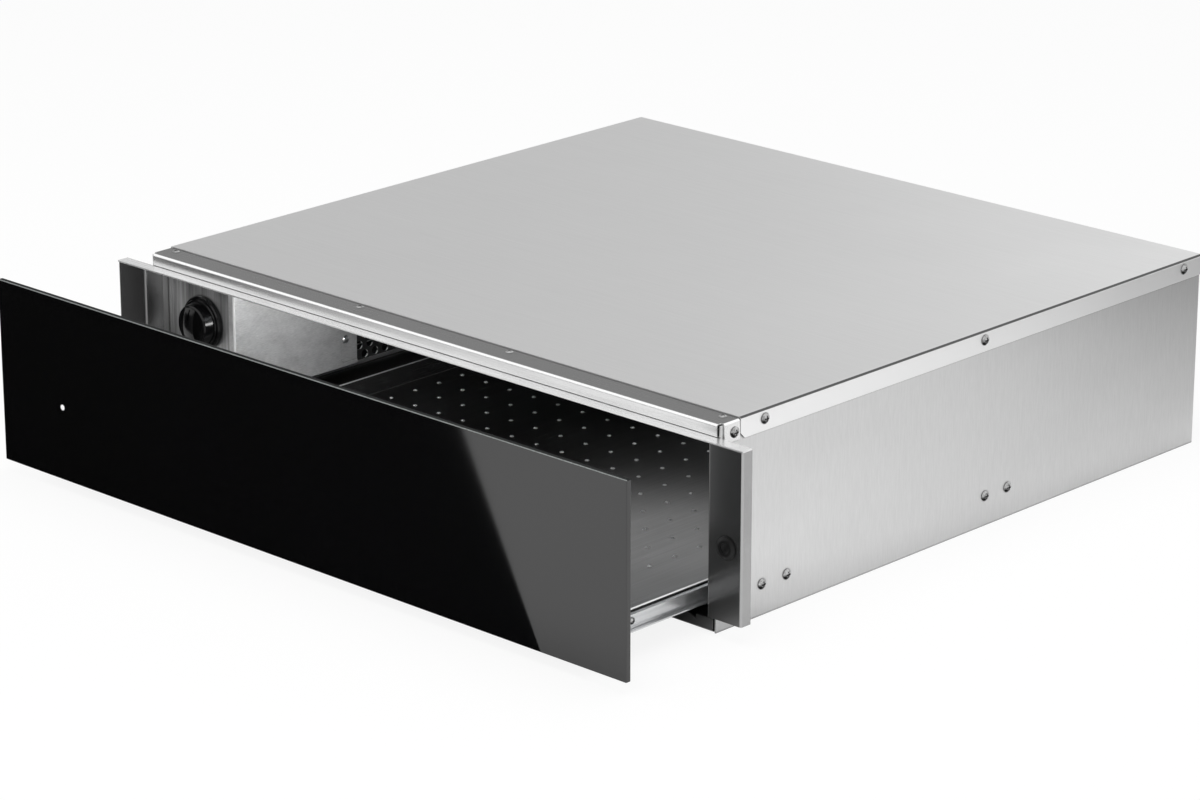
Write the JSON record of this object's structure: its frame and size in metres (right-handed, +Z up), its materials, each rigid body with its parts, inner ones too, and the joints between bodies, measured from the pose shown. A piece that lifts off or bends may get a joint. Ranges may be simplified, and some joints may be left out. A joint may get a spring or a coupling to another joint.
{
  "type": "warming drawer",
  "caption": "Built-in warming drawer: folded steel cabinet, handle-less black glass front, heated tray with dimpled floor on ball slides, knob on the left, standing partly open.",
  "frame": {"origin": "on the cabinet's underside, mid width, in the plane of the furniture's front edges (the back of the front frame)", "axes": "+X to the right and +Y to the back as seen from the front, +Z up"},
  "size_m": [0.595, 0.6305, 0.14],
  "materials": {
    "galvanised_steel": "bright zinc-coated sheet",
    "brushed_steel": "fine brushed stainless sheet",
    "dark_brushed_steel": "dark brushed stainless sheet",
    "zinc_plated": "zinc plated",
    "black_plastic": "fine-grained, slightly glossy",
    "white_plastic": "matt",
    "clear_plastic": "clear polished",
    "black_glass": "tempered glass, back-coated black",
    "rubber": "matt black rubber",
    "mineral_board": "pressed, stiff mineral fibre board",
    "heater_sheath": "oxidised steel tube",
    "copper": "bare copper",
    "foam_tape": "black foam tape"
  },
  "bodies": {
    "cabinet": {"base_pan": "galvanised_steel", "side_panel_left": "brushed_steel", "side_panel_right": "brushed_steel", "rear_panel": "galvanised_steel", "top_cover": "brushed_steel", "ceiling_lining": "galvanised_steel", "insulation_mat": "mineral_board", "front_rail": "brushed_steel", "frame_lip": "brushed_steel", "post_left": "dark_brushed_steel", "post_right": "dark_brushed_steel", "front_buffers": "rubber", "control_box": "dark_brushed_steel", "control_cover": "brushed_steel", "thermostat": "white_plastic", "indicator_lamp": "clear_plastic", "air_wall": "brushed_steel", "duct_end": "galvanised_steel", "fan_motor": "zinc_plated", "ring_heater": "heater_sheath", "thermal_cutout": "black_plastic", "sensor_bulb": "copper", "terminal_block": "white_plastic", "cable_gland": "black_plastic", "wire_loom": "white_plastic", "slide_outer_left": "zinc_plated", "slide_outer_right": "zinc_plated", "latch_body": "black_plastic", "cover_screws": "zinc_plated", "rail_screws": "zinc_plated", "runner_screws": "zinc_plated", "rear_screws": "zinc_plated", "control_screws": "zinc_plated"},
    "drawer": {"glass_front": "black_glass", "front_carrier": "galvanised_steel", "bonding_tape": "foam_tape", "light_guide": "clear_plastic", "tray": "brushed_steel", "tray_divider": "brushed_steel", "floor_plate": "dark_brushed_steel", "front_brackets": "galvanised_steel", "slide_inner_left": "zinc_plated", "slide_inner_right": "zinc_plated", "tray_screws": "zinc_plated", "carrier_screws": "zinc_plated", "latch_striker": "zinc_plated"},
    "cage_left": {"ball_cage_left": "zinc_plated"},
    "cage_right": {"ball_cage_right": "zinc_plated"},
    "knob": {"control_knob": "black_plastic", "knob_spindle": "zinc_plated"},
    "fan": {"fan_shaft": "zinc_plated", "fan_wheel": "galvanised_steel"},
    "latch_button": {"latch_plunger": "zinc_plated"}
  },
  "joints": [
    {"name": "drawer_slide", "type": "slide", "parent": "cabinet", "child": "drawer", "axis": [0, -1, 0], "range_m": [-0.1, 0.2]},
    {"name": "cage_left_slide", "type": "slide", "parent": "cabinet", "child": "cage_left", "axis": [0, -1, 0], "range_m": [-0.05, 0.1]},
    {"name": "cage_right_slide", "type": "slide", "parent": "cabinet", "child": "cage_right", "axis": [0, -1, 0], "range_m": [-0.05, 0.1]},
    {"name": "knob_turn", "type": "hinge", "parent": "cabinet", "child": "knob", "pos_m": [-0.23, 0.005, 0.0935], "axis": [0, 1, 0], "range_deg": [0, 270]},
    {"name": "fan_spin", "type": "hinge", "parent": "cabinet", "child": "fan", "pos_m": [-0.23, 0.28, 0.087], "axis": [1, 0, 0], "continuous": true},
    {"name": "latch_press", "type": "slide", "parent": "cabinet", "child": "latch_button", "axis": [0, 1, 0], "range_m": [0, 0.006], "stiffness_N_per_m": 400, "springref_m": -0.002}
  ],
  "couplings": [
    {"joint": "cage_left_slide", "follows": "drawer_slide", "ratio": 0.5},
    {"joint": "cage_right_slide", "follows": "drawer_slide", "ratio": 0.5}
  ]
}
